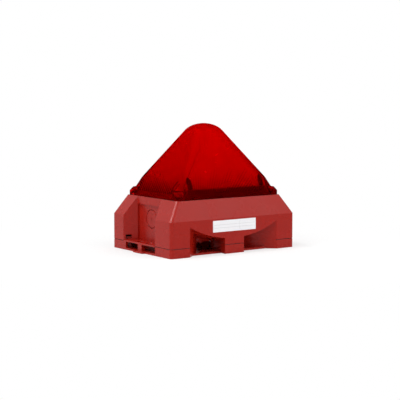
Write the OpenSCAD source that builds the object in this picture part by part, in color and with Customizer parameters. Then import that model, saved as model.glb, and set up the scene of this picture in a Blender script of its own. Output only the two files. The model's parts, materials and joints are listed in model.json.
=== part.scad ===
// Horn strobe: a red pyramid lens on a two-mouth horn housing that stands on a wall base.
// Millimetres. The origin is the centre of the base's underside and +Z points out through the lens.
// The label and one pair of horn mouths look along -Y, one cable-entry recess looks along -X.

/* [Body] */
// Length of the housing across its cable-entry ends
body_l = 160; // [152:1:180]
// Width of the housing across its horn faces
body_w = 112; // [108:1:130]
// Height of the parting line between base tray and housing
base_h = 9.6; // [9:0.1:11]
// Height at which the upright walls turn into the sloped shoulder
shoulder_h = 37; // [35:0.5:42]
// Height of the deck that carries the lens
deck_h = 57.2; // [55:0.1:64]
// Height of the whole object at the lens tip
total_h = 134; // [128:1:150]
// Inward run of the shoulder at each cable-entry end
slope_l = 13.1; // [12:0.1:17]
// Inward run of the shoulder on each horn face
slope_w = 7.8; // [7:0.1:9]
// Radius of the upright corners
corner_r = 3.4; // [2.6:0.1:5]
// Radius of the deck's corners
deck_r = 3.2; // [2.6:0.1:5]
// Wall thickness of the mouldings
wall = 2.4; // [2:0.1:2.8]
// Thickness of the tray's floor
floor_t = 2; // [1.6:0.1:2.6]
// Shadow gap at the parting line
parting_gap = 0.6; // [0.4:0.1:0.8]

/* [Horn] */
// Overall width of a pair of mouths
mouth_span = 113.6; // [106:0.2:118]
// Width of the post between the two mouths
post_w = 25.2; // [23:0.2:30]
// Depth of a flared mouth behind the face
mouth_depth = 25; // [22:0.5:26]
// How far the floor lip stands back from the face
lip_setback = 8; // [6:0.5:10]
// Sideways run of the outer cheek over the lip setback
cheek_flare = 9.4; // [7:0.2:11]
// Radius of the arched upper edge of the mouths
arch_r = 120; // [114:1:140]
// Height of the arch at its lowest point
arch_z = 16.2; // [15.6:0.1:18]
// Fall of the mouth's roof towards the throat, in degrees
roof_tilt = 10; // [6:0.5:11]
// Distance of a throat slot from the middle plane
throat_x = 9; // [8.4:0.1:10]
// Width of each throat slot
throat_w = 22; // [18:0.2:24]
// Height of each throat slot
throat_h = 9; // [6:0.1:9.4]

/* [Cable entry] */
// Width of a cable-entry recess at the end face
recess_w = 61; // [52:0.5:66]
// Sideways offset of the recess from the middle plane
recess_y = 4.1; // [0:0.1:6]
// Inward run of each flared side of the recess
recess_flare = 8; // [6:0.1:10]
// Height of the header band's lower edge
header_z = 49; // [47.5:0.1:51]
// Step of the back wall behind the header band
header_step = 2; // [0.8:0.1:2.4]
// Diameter of the round knock-out
knockout_d = 20.2; // [16:0.1:21]
// Height of the knock-out's centre
knockout_z = 34.5; // [30:0.1:36]
// Sideways offset of the knock-out and of the post below it
knockout_y = 2.8; // [0:0.1:5]
// Width of the groove round the knock-out
groove_w = 0.8; // [0.5:0.1:1.2]
// Width of the post between the two openings under the recess
rail_post_w = 7.4; // [5:0.1:10]
// Thickness of the shelf that floors the recess
shelf_t = 1.7; // [1.4:0.1:2.2]
// Length of a latch window along the flared side
latch_l = 6.2; // [5:0.1:7]
// Height of a latch window
latch_h = 4.4; // [3.6:0.1:5]
// How far the rounded foot under that post stands out from the end face
foot_out = 3.4; // [2:0.1:5]
// Width of that foot
foot_w = 20; // [14:0.5:24]

/* [Fixing] */
// Spacing of the wall screws along the length
fixing_l = 132; // [128:0.5:136]
// Spacing of the wall screws across the width
fixing_w = 84; // [82:0.5:88]
// Diameter of the wall-screw holes
fixing_d = 5.5; // [4.2:0.1:6.5]

/* [Lens] */
// Thickness of the lens
lens_wall = 2.8; // [2.4:0.1:3.2]
// Ledge of the deck round the lens
lens_ledge = 1.1; // [0.6:0.1:1.4]
// Height of the lens's upright foot band
lens_band = 4.3; // [3.8:0.1:5]
// Radius of the lens's corners
lens_r = 3.8; // [3.2:0.1:6]
// Height of the deck's collar behind the lens's long sides
collar_h = 10; // [8:0.1:12.4]
// Height of the collar behind the lens's ends
collar_end_h = 5.5; // [5:0.1:9]
// Radius of the lens cap along the length
cap_l = 23.8; // [20:0.2:27]
// Radius of the lens cap across the width
cap_w = 21.8; // [18:0.2:24]
// Height of the lens cap above its middle
cap_h = 15; // [12:0.5:18]
// Distance of a lens screw from the lens's end
screw_in_l = 7.2; // [7:0.1:8.5]
// Distance of a lens screw from the lens's long side
screw_in_w = 8.4; // [7.4:0.1:9]
// Radius of the notch cut into the corner above a lens screw
notch_r = 7.8; // [7:0.1:8.4]
// Height of the notch's floor above the deck
notch_floor = 8.6; // [8:0.1:10]
// Height of the seat of a lens screw above the deck
seat_h = 3.4; // [2.6:0.1:4]
// Diameter of the lens screw's shank
lens_screw_d = 4; // [3:0.1:4.4]

/* [Sounder] */
// Radius of the driver's flange
driver_r = 27.6; // [26.8:0.1:28]
// Radius of the magnet stack
magnet_r = 22; // [21:0.1:22.4]
// Thickness of the magnet ring
magnet_t = 9; // [6:0.5:10]
// Radius of the voice coil's former
coil_r = 11.4; // [10.5:0.1:12]
// Stroke of the diaphragm each way
stroke = 0.35; // [0.2:0.05:0.5]
// Height of the horn manifold's top
manifold_h = 14; // [13.6:0.1:14.4]

/* [Electronics] */
// Length of the circuit board
board_l = 116; // [112:0.5:118]
// Width of the circuit board
board_w = 66; // [64:0.5:67]
// Thickness of the circuit board
board_t = 1.6; // [1.2:0.1:2]
// Travel of a tone switch's slider
dip_travel = 1.6; // [1:0.1:2]
// Height of the flash tube above the deck
tube_h = 40; // [28:1:46]
// Diameter of the flash tube
tube_d = 6; // [4:0.2:7]

/* [Label] */
// Length of the rating label
label_l = 55.6; // [40:0.2:60]
// Height of the rating label
label_h = 12; // [9:0.2:12.6]

/* [Hidden] */
$fn = 64;

// Colours of the pieces
red_plastic = "#a32a26";
red_lens = "#c00814b0";
black_rubber = "#1c1c1e";
black_plastic = "#26272a";
steel = "#b9bcc0";
dark_steel = "#5c5f63";
board_green = "#1f5a3a";
white_plastic = "#e9e9e4";
copper = "#b5673a";

// Small working lengths
cut = 1;
slab = 0.2;
gap = 0.3;
slide_gap = 0.1;
press_gap = 0.05;

// Frame of the body
half_l = body_l / 2;
half_w = body_w / 2;
tray_top = base_h - parting_gap / 2;
hood_bottom = base_h + parting_gap / 2;
rise = deck_h - shoulder_h;
deck_l = body_l - 2 * slope_l;
deck_w = body_w - 2 * slope_w;
deck_under = deck_h - wall;

// Horn: the outer cheek runs in two straight flights from the face to the throat
mouth_half = mouth_span / 2;
post_half = post_w / 2;
throat_end = throat_x + throat_w;
throat_lift = 0.1;
throat_z = floor_t + throat_lift;
inner_flank = half_w - mouth_depth - wall;
cheek_k = sqrt(1 + pow((mouth_half - throat_end) / mouth_depth, 2));
arch_run = arch_r * sin(roof_tilt) + mouth_depth + 2 * wall;

// Cable entry
recess_end = half_l - slope_l;
back_wall_in = recess_end - header_step - wall;
recess_run = sqrt(slope_l * slope_l + recess_flare * recess_flare);
recess_k = recess_run / slope_l;
recess_turn = atan2(recess_flare, slope_l);
latch_share = 0.16;
latch_start = latch_share * recess_run;
latch_lift = 1.4;
latch_z = hood_bottom + latch_lift;
dimple_r = 1.1;
knockout_web = 0.9;
rail_post_depth = 4;
opening_in = 4.4;
shelf_rise = 0.6;
shelf_top = hood_bottom + shelf_rise;
shelf_z = shelf_top - shelf_t;
shelf_ledge = 2;
shelf_pocket_r = 3.6;
shelf_pocket_y = 8.4;
shelf_pocket_deep = 0.8;

// Wall screws, tongues and the locating lip of the tray
fixing_pad_w = 3.2;
fixing_pad_r = fixing_d / 2 + fixing_pad_w;
fixing_pad_t = 2;
fixing_pad_h = floor_t + fixing_pad_t;
tongue_t = 2;
tongue_top = latch_z + latch_h / 2;
lip_t = 1.2;
lip_h = 2.4;
lip_run = 9;

// Lens and its seat
lens_z = deck_h + gap;
lens_l = deck_l - 2 * lens_ledge;
lens_w = deck_w - 2 * lens_ledge;
cap_z = total_h - cap_h;
screw_x = lens_l / 2 - screw_in_l;
screw_y = lens_w / 2 - screw_in_w;
notch_z = deck_h + notch_floor;
notch_shift = 2.8;
notch_wall = 1.8;
seat_z = deck_h + seat_h;
lens_screw_r = lens_screw_d / 2;
lens_head_w = 1.8;
lens_head_r = lens_screw_r + lens_head_w;
lens_head_h = 2.6;
pocket_clear = 0.5;
pocket_r = lens_head_r + pocket_clear;
lens_boss_r = pocket_r + notch_wall;
seal_t = 0.8;
collar_t = 1.8;
collar_in_l = 10;
lens_lean = (lens_w / 2 - cap_w) / (cap_z - lens_z - lens_band);
collar_rise = deck_h + collar_h - lens_z - lens_band + lens_wall;
collar_in_w = lens_wall + lens_lean * collar_rise + 2 * gap;
hood_boss_w = 2.8;
hood_boss_r = lens_screw_r + hood_boss_w;
hood_boss_depth = 13;
screw_reach = 10;
seal_groove = 1;
seal_w = 1.8;
seal_in = 0.5;
opening_in_l = 17;
opening_in_w = 15;
opening_l = deck_l - 2 * opening_in_l;
opening_w = deck_w - 2 * opening_in_w;
collar_l = lens_l - 2 * collar_in_l;
collar_w = lens_w - 2 * collar_in_w;

// Sounder, stacked upwards from the manifold
manifold_wall = 2;
manifold_margin = 2.5;
manifold_clear = 0.4;
manifold_l = throat_end + manifold_margin;
manifold_w = inner_flank - manifold_clear;
manifold_hole = 10;
diffuser_gap = 4;
diffuser_w = 2;
diffuser_r = manifold_hole + diffuser_w;
diffuser_tip_r = 2;
ear_share = 0.4;
ear_y = ear_share * manifold_w;
ear_r = 4;
ear_z = 8;
ear_t = 2.5;
ear_x = manifold_l + ear_r;
driver_gasket_t = 1;
frame_z = manifold_h + driver_gasket_t;
frame_t = 3;
cone_z = frame_z + frame_t;
cone_t = 0.6;
spacer_t = 2.4;
plate_z = cone_z + spacer_t;
plate_t = 4;
magnet_z = plate_z + plate_t;
yoke_z = magnet_z + magnet_t;
yoke_t = 4;
coil_t = 0.6;
air_gap = 0.6;
pole_r = coil_r - air_gap;
plate_bore = coil_r + coil_t + air_gap;
cone_r = 17.4;
frame_bore = 19;
spacer_w = 1.6;
spacer_r = magnet_r - spacer_w;
driver_screw_r = 25;
driver_seal_r = 22.5;
driver_seal_w = 2.5;
magnet_inset = 0.6;
magnet_clear = 2;
magnet_bore = plate_bore + magnet_clear;
dome_h = 3;
screw_m3 = 1.5;
reach_m3 = 7;
head_m3 = 2.4;
head_m3_h = 1.8;
pilot_r = screw_m3 + slide_gap;
pilot_deep = 5;
screw_boss_w = 2;
screw_boss_r = screw_m3 + screw_boss_w;
screw_boss_t = 6;

// Circuit board hung below the deck
board_drop = 5;
board_z = deck_under - board_drop - board_t;
board_post_in = 5;
board_post_x = board_l / 2 - board_post_in;
board_post_y = 18;
board_post_r = 3;
block_l = 10;
block_post_gap = 4;
block_x = board_post_x - board_post_r - block_post_gap - block_l / 2;
block_w = 27;
block_h = 11;
block_ways = 5;
block_pitch = block_w / block_ways;
block_hole_r = 1.8;
block_hole_deep = 5;
block_screw_in = 1.5;
block_slot_w = 0.6;
block_slot_deep = 0.9;
wire_entry_w = 3;
wire_entry_h = 3.4;
wire_entry_z = 5;
wire_entry_deep = 4;
yoke_clear = 0.8;
dip_count = 8;
dip_pitch = 2.54;
dip_w = 9.2;
dip_y = magnet_r + yoke_clear + dip_w / 2;
dip_h = 5;
dip_end = 1;
dip_l = dip_count * dip_pitch + 2 * dip_end;
slider_w = 1.4;
slider_l = 1.8;
slider_h = 1.5;
slider_proud = 0.4;
trimmer_s = 9.2;
trimmer_y = -(magnet_r + yoke_clear + trimmer_s / 2);
trimmer_h = 4.6;
rotor_r = 3.2;
rotor_h = 2;
rotor_proud = 0.6;
rotor_slot_w = 0.8;
rotor_slot_deep = 1;
capacitor_x = 40;
capacitor_y = 20;
capacitor_r = 7.8;
capacitor_h = 25;
bead_z = 4;
bead_w = 1;
bead_deep = 0.5;
core_x = 38;
core_l = 15;
core_w = 17;
core_h = 15;
core_leg = 3;
trigger_x = -35;
trigger_y = -21;
trigger_r = 5;
trigger_h = 15;
trigger_rim = 1;
trigger_flange = 2;
contact_gap = 1;
contact_l = 7;
contact_w = 8;
contact_x = -(manifold_l + contact_gap + contact_l / 2);
contact_y = manifold_w - contact_w / 2;
contact_drop = 5;
pin_r = 0.8;
pin_deep = 8;
pin_pitch = 4;
tube_pitch = 14;
socket_l = 28;
socket_w = 14;
socket_proud = 1;
socket_top = deck_h + socket_proud;
tube_seat = 5;
mirror_clear = 1.5;
mirror_l = opening_l - 2 * mirror_clear;
mirror_w = opening_w - 2 * mirror_clear;
mirror_t = 1.4;
mirror_rim = 8;
mirror_deep = 2;
mirror_z = deck_h - mirror_t - mirror_deep;
mirror_leg_gap = 4;
mirror_leg_in = mirror_rim + mirror_leg_gap;
mirror_leg_r = 2;

// Rating label, set above the middle of the face between arch and shoulder
label_lift = 2.8;
label_z = (arch_z + shoulder_h) / 2 + label_lift;
label_t = 0.25;

// Plane outlines

module rounded_rect(l, w, r) {
    square([l - 2 * r, w], center = true);
    square([l, w - 2 * r], center = true);
    for (x = [-1, 1], y = [-1, 1])
        translate([x * (l / 2 - r), y * (w / 2 - r)])
            circle(r);
}

module body_plan(inset = 0) {
    rounded_rect(body_l - 2 * inset, body_w - 2 * inset, max(corner_r - inset, 0.6));
}

// One horn mouth on the -Y face, right of the post, with its walls grown outwards
module one_mouth(grow) {
    polygon([
        [post_half - grow, -half_w - cut],
        [mouth_half + cheek_k * grow, -half_w - cut],
        [mouth_half + cheek_k * grow, -half_w],
        [mouth_half - cheek_flare + cheek_k * grow, -half_w + lip_setback],
        [throat_end + grow, -half_w + mouth_depth + grow],
        [throat_x - grow, -half_w + mouth_depth + grow]
    ]);
}

module mouth_plan(grow = 0) {
    for (turn = [0, 180], side = [0, 1])
        rotate(turn)
            mirror([side, 0])
                one_mouth(grow);
}

// Half-width of a cable-entry recess at its back, with its walls grown outwards
function recess_neck(grow) =
    recess_w / 2 + recess_k * grow - recess_flare * (1 + grow / slope_l);

// One cable-entry recess on the -X end, with its walls grown outwards
module one_recess(grow) {
    half = recess_w / 2 + recess_k * grow;
    neck = recess_neck(grow);
    polygon([
        [-half_l - cut, recess_y - half],
        [-half_l, recess_y - half],
        [-recess_end + grow, recess_y - neck],
        [-recess_end + grow, recess_y + neck],
        [-half_l, recess_y + half],
        [-half_l - cut, recess_y + half]
    ]);
}

// The recess below its header band, where the back wall stands a small step further in
module recess_plan(grow) {
    neck = recess_neck(grow);
    one_recess(grow);
    translate([-recess_end - cut, recess_y - neck])
        square([header_step + grow + cut, 2 * neck]);
}

module both_ends() {
    for (turn = [0, 180])
        rotate(turn)
            children();
}

module four_corners(x, y) {
    for (i = [-1, 1], j = [-1, 1])
        translate([i * x, j * y])
            children();
}

module slab_at(z, h) {
    translate([0, 0, z])
        linear_extrude(h)
            children();
}

module disc_at(z, h, r) {
    translate([0, 0, z])
        cylinder(h = h, r = r);
}

module ring_at(z, h, outer, inner) {
    difference() {
        disc_at(z, h, outer);
        disc_at(z - cut, h + 2 * cut, inner);
    }
}

// Horn mouths below their arched roof; grow moves walls and roof outwards to give them a thickness
module mouth_space(z, grow = 0) {
    difference() {
        slab_at(z, shoulder_h - z)
            mouth_plan(grow);
        both_ends()
            translate([0, -half_w, arch_z + arch_r / cos(roof_tilt)])
                rotate([-90 - roof_tilt, 0, 0])
                    cylinder(h = 2 * arch_run, r = arch_r - grow, center = true, $fn = 256);
    }
}

module throat_slots(grow = 0) {
    for (turn = [0, 180], side = [0, 1])
        rotate(turn)
            mirror([side, 0, 0])
                translate([throat_x - grow, -inner_flank - wall - cut, throat_z - grow])
                    cube([throat_w + 2 * grow, wall + 2 * cut, throat_h + 2 * grow]);
}

// Places a piece in the frame of a flared recess side: x along the side, +y into the pillar
module on_flares() {
    both_ends()
        translate([0, recess_y, 0])
            for (side = [0, 1])
                mirror([0, side, 0])
                    translate([-half_l, recess_w / 2, 0])
                        rotate([0, 0, -recess_turn])
                            children();
}

// Base

module tray_walls() {
    slab_at(0, tray_top)
        difference() {
            body_plan();
            difference() {
                body_plan(wall);
                mouth_plan(wall);
            }
            mouth_plan();
        }
}

module tray_floor() {
    slab_at(0, floor_t) {
        difference() {
            body_plan();
            intersection() {
                mouth_plan();
                difference() {
                    square([body_l, 2 * body_w], center = true);
                    square([body_l, body_w - 2 * lip_setback], center = true);
                }
            }
        }
        both_ends()
            translate([-half_l, knockout_y])
                rounded_rect(2 * foot_out, foot_w, 0.8 * foot_out);
    }
}

// The shelf fills the recess above the parting line, on a ledge that runs on below the hood's walls
module tray_shelves() {
    both_ends() {
        slab_at(shelf_z, shelf_t)
            intersection() {
                body_plan();
                recess_plan(-gap);
            }
        slab_at(tray_top - shelf_t, shelf_t)
            intersection() {
                body_plan();
                difference() {
                    recess_plan(wall);
                    recess_plan(-shelf_ledge);
                }
            }
        slab_at(0, tray_top)
            translate([-back_wall_in - wall, recess_y - recess_w / 2])
                square([wall, recess_w]);
        slab_at(0, tray_top)
            translate([-half_l, knockout_y - rail_post_w / 2])
                square([rail_post_depth, rail_post_w]);
    }
}

module rail_openings() {
    low = recess_y - recess_w / 2;
    high = recess_y + recess_w / 2;
    post_low = knockout_y - rail_post_w / 2;
    post_high = knockout_y + rail_post_w / 2;
    both_ends()
        for (span = [[low, post_low], [post_high, high - opening_in]])
            translate([-half_l - cut, span[0], floor_t])
                cube([wall + 2 * cut, span[1] - span[0], shelf_z - floor_t]);
}

module shelf_pockets() {
    both_ends()
        for (side = [-1, 1])
            translate([-half_l + slope_l / 2, knockout_y + side * shelf_pocket_y, 0])
                disc_at(shelf_top - shelf_pocket_deep, shelf_pocket_deep + cut, shelf_pocket_r);
}

module tray_tongues() {
    on_flares()
        translate([latch_start + gap, wall + gap, 0])
            cube([latch_l - 2 * gap, tongue_t, tongue_top]);
}

module tray_lip() {
    inset = wall + gap;
    slab_at(0, tray_top + lip_h)
        intersection() {
            difference() {
                body_plan(inset);
                body_plan(inset + lip_t);
            }
            four_corners(half_l - inset - lip_run / 2, half_w - inset - lip_run / 2)
                square(lip_run, center = true);
        }
}

module base_tray() {
    color(red_plastic)
        difference() {
            union() {
                tray_floor();
                tray_walls();
                tray_shelves();
                tray_tongues();
                tray_lip();
                four_corners(fixing_l / 2, fixing_w / 2)
                    disc_at(0, fixing_pad_h, fixing_pad_r);
                four_corners(ear_x, ear_y)
                    disc_at(0, ear_z, ear_r);
                translate([0, 0, floor_t])
                    cylinder(h = manifold_h - floor_t - diffuser_gap, r1 = diffuser_r, r2 = diffuser_tip_r);
            }
            rail_openings();
            shelf_pockets();
            throat_slots();
            four_corners(fixing_l / 2, fixing_w / 2)
                disc_at(-cut, fixing_pad_h + 2 * cut, fixing_d / 2);
            four_corners(ear_x, ear_y)
                disc_at(floor_t, ear_z, pilot_r);
        }
}

module base_gasket() {
    inset = wall / 4;
    color(black_rubber)
        difference() {
            slab_at(tray_top, parting_gap)
                difference() {
                    gasket_plan(inset);
                    gasket_plan(wall - inset);
                }
            throat_slots(gap);
        }
}

module gasket_plan(inset) {
    difference() {
        body_plan(inset);
        mouth_plan(inset);
        both_ends()
            recess_plan(inset);
    }
}

// Sounder

module horn_manifold() {
    color(red_plastic)
        difference() {
            union() {
                slab_at(floor_t, manifold_h - floor_t)
                    square([2 * manifold_l, 2 * manifold_w], center = true);
                four_corners(ear_x, ear_y)
                    disc_at(ear_z, ear_t, ear_r);
                slab_at(ear_z, ear_t)
                    for (y = [-ear_y, ear_y])
                        translate([0, y])
                            square([2 * ear_x, 2 * ear_r], center = true);
            }
            difference() {
                slab_at(floor_t - cut, manifold_h - floor_t - manifold_wall + cut)
                    square(2 * [manifold_l - manifold_wall, manifold_w - manifold_wall], center = true);
                driver_screw_places()
                    disc_at(manifold_h - screw_boss_t, screw_boss_t, screw_boss_r);
            }
            manifold_ports();
            disc_at(floor_t, manifold_h, manifold_hole);
            driver_screw_places()
                disc_at(manifold_h - pilot_deep, pilot_deep + cut, pilot_r);
            four_corners(ear_x, ear_y)
                disc_at(ear_z - cut, ear_t + 2 * cut, pilot_r);
        }
}

// Ports in the manifold's long walls, in line with the throat slots and open to the floor
module manifold_ports() {
    for (turn = [0, 180], side = [0, 1])
        rotate(turn)
            mirror([side, 0, 0])
                translate([throat_x, -manifold_w - cut, floor_t - cut])
                    cube([throat_w, manifold_wall + 2 * cut, throat_lift + throat_h + cut]);
}

module driver_screw_places() {
    for (turn = [45 : 90 : 315])
        rotate(turn)
            translate([driver_screw_r, 0])
                children();
}

module pan_screw(z, reach, r, head_r, head_h) {
    disc_at(z - reach, reach, r);
    difference() {
        disc_at(z, head_h, head_r);
        for (turn = [0, 90])
            rotate(turn)
                translate([-head_r * 0.6, -r * 0.2, z + head_h * 0.5])
                    cube([head_r * 1.2, r * 0.4, head_h]);
    }
}

module manifold_screws() {
    color(steel)
        four_corners(ear_x, ear_y)
            pan_screw(ear_z + ear_t, reach_m3, screw_m3, head_m3, head_m3_h);
}

module driver_gasket() {
    color(black_rubber)
        ring_at(manifold_h, driver_gasket_t, driver_seal_r, driver_seal_r - driver_seal_w);
}

module driver_frame() {
    color(black_plastic)
        difference() {
            union() {
                ring_at(frame_z, frame_t, driver_r, frame_bore);
                ring_at(frame_z, frame_t + spacer_t, magnet_r, spacer_r);
            }
            driver_screw_places()
                disc_at(frame_z - cut, frame_t + 2 * cut, pilot_r);
        }
}

module driver_screws() {
    color(steel)
        driver_screw_places()
            pan_screw(cone_z, reach_m3, screw_m3, head_m3, head_m3_h);
}

module top_plate() {
    color(dark_steel)
        ring_at(plate_z, plate_t, magnet_r, plate_bore);
}

module magnet_ring() {
    color("#3a3b3e")
        ring_at(magnet_z, magnet_t, magnet_r - magnet_inset, magnet_bore);
}

module yoke() {
    color(dark_steel) {
        disc_at(yoke_z, yoke_t, magnet_r);
        disc_at(plate_z + stroke, yoke_z - plate_z, pole_r);
    }
}

module surround() {
    color(black_rubber)
        ring_at(cone_z, cone_t, spacer_r, cone_r);
}

// A flat rim with a shallow dome that points into the horn
module diaphragm() {
    dome_r = (coil_r * coil_r + dome_h * dome_h) / (2 * dome_h);
    color("#8a8d92") {
        ring_at(cone_z, cone_t, cone_r, coil_r - cone_t);
        intersection() {
            difference() {
                translate([0, 0, cone_z - dome_h + dome_r])
                    sphere(dome_r);
                translate([0, 0, cone_z - dome_h + dome_r + cone_t])
                    sphere(dome_r);
            }
            disc_at(cone_z - dome_h, dome_h + cone_t, coil_r);
        }
    }
}

module voice_coil() {
    color(copper)
        ring_at(cone_z + cone_t, spacer_t + plate_t, coil_r + coil_t, coil_r);
}

module contact_post() {
    post_h = board_z - contact_drop - floor_t;
    color(black_plastic)
        translate([contact_x - contact_l / 2, contact_y - contact_w / 2, floor_t])
            difference() {
                cube([contact_l, contact_w, post_h]);
                for (y = [-1, 1])
                    translate([contact_l / 2, contact_w / 2 + y * pin_pitch / 2, 0])
                        disc_at(post_h - pin_deep, pin_deep + cut, pin_r + press_gap);
            }
}

module contact_pins() {
    color("#d8b25a")
        for (y = [-1, 1])
            translate([contact_x, contact_y + y * pin_pitch / 2, 0])
                disc_at(board_z - contact_drop - pin_deep, contact_drop + pin_deep - gap, pin_r);
}

// Housing

module hood_outer() {
    slab_at(hood_bottom, shoulder_h - hood_bottom)
        body_plan();
    hull() {
        slab_at(shoulder_h - slab, slab)
            body_plan($fn = 32);
        slab_at(deck_h - slab, slab)
            rounded_rect(deck_l, deck_w, deck_r, $fn = 32);
    }
}

// Half-length of the sloped shoulder's inner face just below the deck
function inner_half(deck, slope) =
    deck / 2 + slope * wall / rise - wall * sqrt(1 + pow(slope / rise, 2));

module hood_inner() {
    slab_at(hood_bottom - cut, shoulder_h - hood_bottom + cut)
        body_plan(wall);
    hull() {
        slab_at(shoulder_h - slab, slab)
            body_plan(wall, $fn = 32);
        slab_at(deck_under - slab, slab)
            rounded_rect(2 * inner_half(deck_l, slope_l), 2 * inner_half(deck_w, slope_w), 2, $fn = 32);
    }
}

module hood_walls() {
    intersection() {
        hood_outer();
        union() {
            mouth_space(hood_bottom, wall);
            both_ends() {
                slab_at(hood_bottom, header_z - hood_bottom)
                    recess_plan(wall);
                slab_at(hood_bottom, deck_h - hood_bottom)
                    one_recess(wall);
            }
        }
    }
}

module knockouts() {
    depth = header_step + wall - knockout_web;
    both_ends()
        translate([-recess_end, knockout_y, knockout_z])
            rotate([0, 90, 0]) {
                ring_at(0, depth, knockout_d / 2, knockout_d / 2 - groove_w);
                disc_at(0, depth, dimple_r);
            }
}

module latch_windows() {
    on_flares()
        translate([latch_start, -cut, latch_z])
            cube([latch_l, wall + 2 * cut, latch_h]);
}

// Rim that stands behind the foot of the lens, cut back round the lens's screw bosses
module deck_collar() {
    difference() {
        slab_at(deck_under, wall + collar_h)
            difference() {
                rounded_rect(collar_l, collar_w, deck_r);
                rounded_rect(collar_l - 2 * collar_t, collar_w - 2 * collar_t, deck_r - collar_t);
            }
        four_corners(screw_x, screw_y)
            disc_at(deck_h, collar_h + cut, lens_boss_r + 2 * gap);
        four_corners(screw_x + notch_shift, screw_y)
            disc_at(deck_h, collar_h + cut, notch_r + notch_wall + 2 * gap);
        both_ends()
            translate([-collar_l / 2 - cut, -collar_w / 2, deck_h + collar_end_h])
                cube([collar_t + deck_r + cut, collar_w, collar_h]);
    }
}

module housing() {
    color(red_plastic)
        difference() {
            union() {
                difference() {
                    hood_outer();
                    hood_inner();
                }
                hood_walls();
                deck_collar();
                four_corners(screw_x, screw_y)
                    disc_at(deck_h - hood_boss_depth, hood_boss_depth - cut, hood_boss_r);
                four_corners(board_post_x, board_post_y)
                    disc_at(board_z + board_t, board_drop + cut, board_post_r);
            }
            mouth_space(hood_bottom - cut);
            both_ends() {
                slab_at(hood_bottom - cut, deck_h)
                    one_recess(0);
                slab_at(hood_bottom - cut, header_z - hood_bottom + cut)
                    recess_plan(0);
            }
            knockouts();
            latch_windows();
            throat_slots();
            slab_at(deck_under - cut, wall + 2 * cut)
                rounded_rect(opening_l, opening_w, deck_r);
            slab_at(deck_h - seal_groove, wall)
                seal_plan();
            four_corners(screw_x, screw_y)
                disc_at(deck_h - hood_boss_depth + wall, hood_boss_depth, lens_screw_r + slide_gap);
            four_corners(board_post_x, board_post_y)
                disc_at(board_z, board_drop + wall, pilot_r);
            translate([-label_l / 2, -half_w - cut, label_z - label_h / 2])
                cube([label_l, label_t + cut, label_h]);
        }
}

module rating_label() {
    color("#eeeef0")
        translate([-label_l / 2, -half_w, label_z - label_h / 2])
            cube([label_l, label_t, label_h]);
}

module seal_plan() {
    inner = seal_in + seal_w;
    difference() {
        rounded_rect(lens_l - 2 * seal_in, lens_w - 2 * seal_in, lens_r - seal_in);
        rounded_rect(lens_l - 2 * inner, lens_w - 2 * inner, lens_r - inner);
    }
}

module lens_gasket() {
    color(black_rubber)
        slab_at(deck_h - seal_groove, seal_groove + gap)
            seal_plan();
}

// Electronics below the deck

module circuit_board() {
    color(board_green)
        difference() {
            slab_at(board_z, board_t)
                square([board_l, board_w], center = true);
            four_corners(board_post_x, board_post_y)
                disc_at(board_z - cut, board_t + 2 * cut, pilot_r);
        }
}

module board_screws() {
    color(steel)
        four_corners(board_post_x, board_post_y)
            translate([0, 0, board_z])
                mirror([0, 0, 1])
                    pan_screw(0, board_t + board_drop, screw_m3, head_m3, head_m3_h);
}

module block_places() {
    for (i = [0 : block_ways - 1])
        translate([-block_x, (i + 0.5) * block_pitch - block_w / 2, board_z - block_h])
            children();
}

module terminal_block() {
    color("#2f6b45")
        difference() {
            translate([-block_x - block_l / 2, -block_w / 2, board_z - block_h])
                cube([block_l, block_w, block_h]);
            block_places() {
                disc_at(-cut, block_hole_deep + cut, block_hole_r);
                translate([-block_l / 2 - cut, -wire_entry_w / 2, block_h - wire_entry_z])
                    cube([wire_entry_deep + cut, wire_entry_w, wire_entry_h]);
            }
        }
}

module terminal_screws() {
    color(steel)
        block_places()
            difference() {
                disc_at(block_screw_in, block_hole_deep - block_screw_in, block_hole_r - slide_gap);
                translate([-block_hole_r, -block_slot_w / 2, block_screw_in - cut])
                    cube([2 * block_hole_r, block_slot_w, cut + block_slot_deep]);
            }
}

module dip_place(i) {
    translate([(i - (dip_count + 1) / 2) * dip_pitch, dip_y, board_z - dip_h])
        children();
}

module dip_switch() {
    slot_w = slider_w + 2 * slide_gap;
    slot_l = slider_l + dip_travel + 2 * gap;
    color("#1d4f9a")
        difference() {
            translate([-dip_l / 2, dip_y - dip_w / 2, board_z - dip_h])
                cube([dip_l, dip_w, dip_h]);
            for (i = [1 : dip_count])
                dip_place(i)
                    translate([-slot_w / 2, -slot_l / 2, -cut])
                        cube([slot_w, slot_l, slider_h + cut + gap]);
        }
}

module dip_slider(i) {
    color(white_plastic)
        dip_place(i)
            translate([-slider_w / 2, -(slider_l + dip_travel) / 2, -slider_proud])
                cube([slider_w, slider_l, slider_h + slider_proud]);
}

module trimmer_body() {
    color("#2d5fa8")
        translate([0, trimmer_y, board_z - trimmer_h])
            difference() {
                translate([-trimmer_s / 2, -trimmer_s / 2, 0])
                    cube([trimmer_s, trimmer_s, trimmer_h]);
                disc_at(-cut, rotor_h + cut, rotor_r + slide_gap);
            }
}

module trimmer_rotor() {
    color(white_plastic)
        translate([0, trimmer_y, board_z - trimmer_h])
            difference() {
                disc_at(-rotor_proud, rotor_h + rotor_proud - gap, rotor_r);
                for (turn = [0, 90])
                    rotate(turn)
                        translate([-rotor_r * 0.75, -rotor_slot_w / 2, -rotor_proud - cut])
                            cube([rotor_r * 1.5, rotor_slot_w, cut + rotor_slot_deep]);
            }
}

module flash_capacitors() {
    color("#20242c")
        for (y = [-1, 1])
            translate([capacitor_x, y * capacitor_y, board_z])
                difference() {
                    disc_at(-capacitor_h, capacitor_h, capacitor_r);
                    ring_at(-bead_z, bead_w, capacitor_r + cut, capacitor_r - bead_deep);
                }
}

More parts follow.
